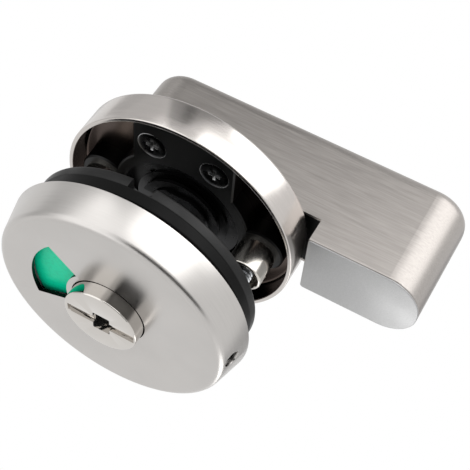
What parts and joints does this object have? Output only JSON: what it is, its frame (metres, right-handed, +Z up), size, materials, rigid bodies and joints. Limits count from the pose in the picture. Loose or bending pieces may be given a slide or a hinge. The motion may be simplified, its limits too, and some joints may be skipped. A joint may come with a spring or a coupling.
{
  "type": "toilet indicator bolt",
  "caption": "Round indicator bolt for a cubicle door: cover with colour window and coin release outside, cup with a turning bar inside.",
  "frame": {"origin": "on the turning axis, where the outer gasket's rear face meets the door's outer face", "axes": "+Y runs through the door into the cubicle, +Z is up, +X is to the right seen from outside; the bar hangs along -Z"},
  "size_m": [0.065, 0.0714, 0.096],
  "materials": {
    "brushed_stainless": "satin brushed",
    "bright_steel": "bright",
    "black_moulding": "matt black",
    "black_rubber": "matt black",
    "black_casting": "black painted zinc",
    "black_screws": "black zinc plate",
    "zinc_steel": "zinc plated",
    "white_nylon": "natural nylon",
    "white_disc": "satin white",
    "green_film": "gloss green",
    "red_film": "gloss red",
    "silver_insert": "satin silver paint"
  },
  "bodies": {
    "door_set": {"outer_cover": "brushed_stainless", "cover_grub_screw": "black_screws", "outer_base": "black_moulding", "outer_gasket": "black_rubber", "fixing_bolts": "bright_steel", "threaded_posts": "bright_steel", "inner_cup": "brushed_stainless", "inner_base": "black_casting", "base_screws": "black_screws", "hub_bush": "white_nylon", "thrust_washer": "white_nylon", "stop_pin": "zinc_steel"},
    "turn_bar": {"bar_shell": "brushed_stainless", "bar_core": "black_moulding", "buffer_insert": "silver_insert", "buffer_screws": "zinc_steel", "drive_hub": "zinc_steel", "hub_screws": "zinc_steel", "spindle": "zinc_steel", "stop_washer": "black_screws", "disc_spring": "zinc_steel", "hub_circlip": "black_screws"},
    "indicator": {"coin_release": "bright_steel", "indicator_disc": "white_disc", "green_sector": "green_film", "red_sector": "red_film", "disc_clip": "zinc_steel"}
  },
  "joints": [
    {"name": "bar_turn", "type": "hinge", "parent": "door_set", "child": "turn_bar", "pos_m": [0, 0.02, 0], "axis": [0, 1, 0], "range_deg": [0, 90]},
    {"name": "indicator_turn", "type": "hinge", "parent": "door_set", "child": "indicator", "pos_m": [0, -0.012, 0], "axis": [0, 1, 0], "range_deg": [0, 90]}
  ],
  "couplings": [
    {"joint": "indicator_turn", "follows": "bar_turn", "ratio": 1}
  ]
}
